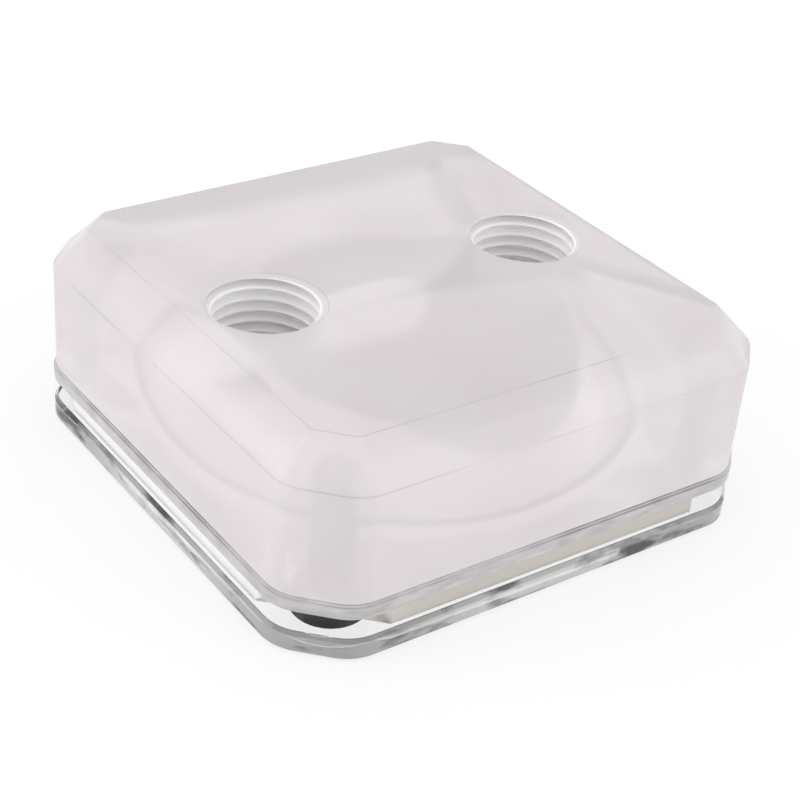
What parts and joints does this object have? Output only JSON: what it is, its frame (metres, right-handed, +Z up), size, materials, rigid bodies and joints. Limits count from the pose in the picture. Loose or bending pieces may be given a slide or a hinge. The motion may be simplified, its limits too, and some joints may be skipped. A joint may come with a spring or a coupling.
{
  "type": "water cooling block",
  "caption": "Square frosted acrylic water cooling block with threaded ports on top, a metal cold plate and a clear base plate.",
  "frame": {"origin": "middle of the underside, where the contact pad and the base plate lie flush", "axes": "+Z up towards the ports; the two ports lie on the X axis; -Y and -X are the sides that face the camera in the picture"},
  "size_m": [0.062, 0.062, 0.0239],
  "materials": {
    "satin_acrylic": "frosted, translucent",
    "clear_acrylic": "clear, polished edges",
    "nickel_plate": "satin nickel plating on copper",
    "steel_sheet": "brushed",
    "dark_steel": "black oxide",
    "silicone": "soft, translucent white"
  },
  "bodies": {
    "root": {"top_body": "satin_acrylic", "flow_insert": "clear_acrylic", "base_plate": "clear_acrylic", "cold_plate": "nickel_plate", "jet_plate": "steel_sheet", "chamber_seal": "silicone", "screw_front_left": "dark_steel", "screw_front_right": "dark_steel", "screw_rear_left": "dark_steel", "screw_rear_right": "dark_steel"}
  },
  "joints": []
}
